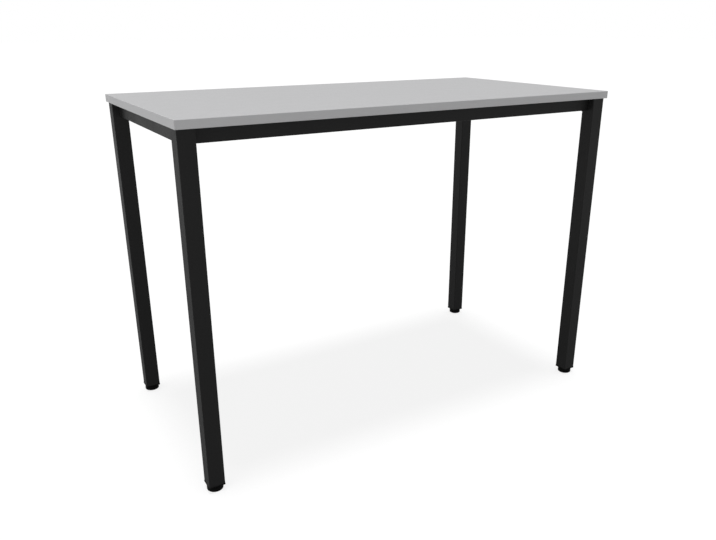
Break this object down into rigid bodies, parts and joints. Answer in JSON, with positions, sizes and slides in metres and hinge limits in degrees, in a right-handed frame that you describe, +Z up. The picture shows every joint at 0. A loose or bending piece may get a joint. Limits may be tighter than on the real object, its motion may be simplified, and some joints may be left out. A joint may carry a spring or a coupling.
{
  "type": "standing meeting table",
  "caption": "Standing-height meeting table: light grey melamine top with edge bands on a black square-tube frame with rails, corner brackets and screw-in levelling feet.",
  "frame": {"origin": "on the floor under the middle of the table", "axes": "+Z up, +X along the long side, +Y from the front to the back"},
  "size_m": [1.55, 0.8, 1.115],
  "materials": {
    "top_melamine": "light grey melamine, fine matt texture",
    "edge_abs": "light grey ABS edge band, satin",
    "frame_black": "black powder coat, fine texture, satin",
    "steel_zinc": "zinc plated",
    "plastic_black": "moulded black plastic",
    "rubber_black": "black non-slip rubber"
  },
  "bodies": {
    "frame": {"tabletop_board": "top_melamine", "edge_band_front": "edge_abs", "edge_band_back": "edge_abs", "edge_band_left": "edge_abs", "edge_band_right": "edge_abs", "leg_front_left": "frame_black", "leg_front_right": "frame_black", "leg_back_right": "frame_black", "leg_back_left": "frame_black", "leg_cap_front_left": "frame_black", "leg_cap_front_right": "frame_black", "leg_cap_back_right": "frame_black", "leg_cap_back_left": "frame_black", "rail_front": "frame_black", "rail_back": "frame_black", "rail_left": "frame_black", "rail_right": "frame_black", "corner_bracket_front_left": "frame_black", "corner_bracket_front_right": "frame_black", "corner_bracket_back_right": "frame_black", "corner_bracket_back_left": "frame_black", "centre_tab_front": "frame_black", "centre_tab_back": "frame_black", "bracket_bolts_front_left": "steel_zinc", "bracket_bolts_front_right": "steel_zinc", "bracket_bolts_back_right": "steel_zinc", "bracket_bolts_back_left": "steel_zinc", "rivet_nuts_front_left": "steel_zinc", "rivet_nuts_front_right": "steel_zinc", "rivet_nuts_back_right": "steel_zinc", "rivet_nuts_back_left": "steel_zinc", "top_screws_front_left": "steel_zinc", "top_screws_front_right": "steel_zinc", "top_screws_back_right": "steel_zinc", "top_screws_back_left": "steel_zinc", "centre_screw_front": "steel_zinc", "centre_screw_back": "steel_zinc", "insert_nut_front_left": "steel_zinc", "insert_nut_front_right": "steel_zinc", "insert_nut_back_right": "steel_zinc", "insert_nut_back_left": "steel_zinc", "leg_insert_front_left": "plastic_black", "leg_insert_front_right": "plastic_black", "leg_insert_back_right": "plastic_black", "leg_insert_back_left": "plastic_black"},
    "glide_front_left": {"foot_pad_front_left": "rubber_black"},
    "foot_front_left": {"foot_base_front_left": "plastic_black", "foot_stud_front_left": "steel_zinc"},
    "glide_front_right": {"foot_pad_front_right": "rubber_black"},
    "foot_front_right": {"foot_base_front_right": "plastic_black", "foot_stud_front_right": "steel_zinc"},
    "glide_back_right": {"foot_pad_back_right": "rubber_black"},
    "foot_back_right": {"foot_base_back_right": "plastic_black", "foot_stud_back_right": "steel_zinc"},
    "glide_back_left": {"foot_pad_back_left": "rubber_black"},
    "foot_back_left": {"foot_base_back_left": "plastic_black", "foot_stud_back_left": "steel_zinc"}
  },
  "joints": [
    {"name": "foot_front_left_travel", "type": "slide", "parent": "frame", "child": "glide_front_left", "axis": [0, 0, -1], "range_m": [-0.0017, 0.0151]},
    {"name": "foot_front_left_turn", "type": "hinge", "parent": "glide_front_left", "child": "foot_front_left", "pos_m": [-0.744, -0.365, 0], "axis": [0, 0, -1], "range_deg": [-400, 3600]},
    {"name": "foot_front_right_travel", "type": "slide", "parent": "frame", "child": "glide_front_right", "axis": [0, 0, -1], "range_m": [-0.0017, 0.0151]},
    {"name": "foot_front_right_turn", "type": "hinge", "parent": "glide_front_right", "child": "foot_front_right", "pos_m": [0.744, -0.365, 0], "axis": [0, 0, -1], "range_deg": [-400, 3600]},
    {"name": "foot_back_right_travel", "type": "slide", "parent": "frame", "child": "glide_back_right", "axis": [0, 0, -1], "range_m": [-0.0017, 0.0151]},
    {"name": "foot_back_right_turn", "type": "hinge", "parent": "glide_back_right", "child": "foot_back_right", "pos_m": [0.744, 0.365, 0], "axis": [0, 0, -1], "range_deg": [-400, 3600]},
    {"name": "foot_back_left_travel", "type": "slide", "parent": "frame", "child": "glide_back_left", "axis": [0, 0, -1], "range_m": [-0.0017, 0.0151]},
    {"name": "foot_back_left_turn", "type": "hinge", "parent": "glide_back_left", "child": "foot_back_left", "pos_m": [-0.744, 0.365, 0], "axis": [0, 0, -1], "range_deg": [-400, 3600]}
  ],
  "couplings": [
    {"joint": "foot_front_left_travel", "follows": "foot_front_left_turn", "m_per_rad": 0.00023873},
    {"joint": "foot_front_right_travel", "follows": "foot_front_right_turn", "m_per_rad": 0.00023873},
    {"joint": "foot_back_right_travel", "follows": "foot_back_right_turn", "m_per_rad": 0.00023873},
    {"joint": "foot_back_left_travel", "follows": "foot_back_left_turn", "m_per_rad": 0.00023873}
  ]
}
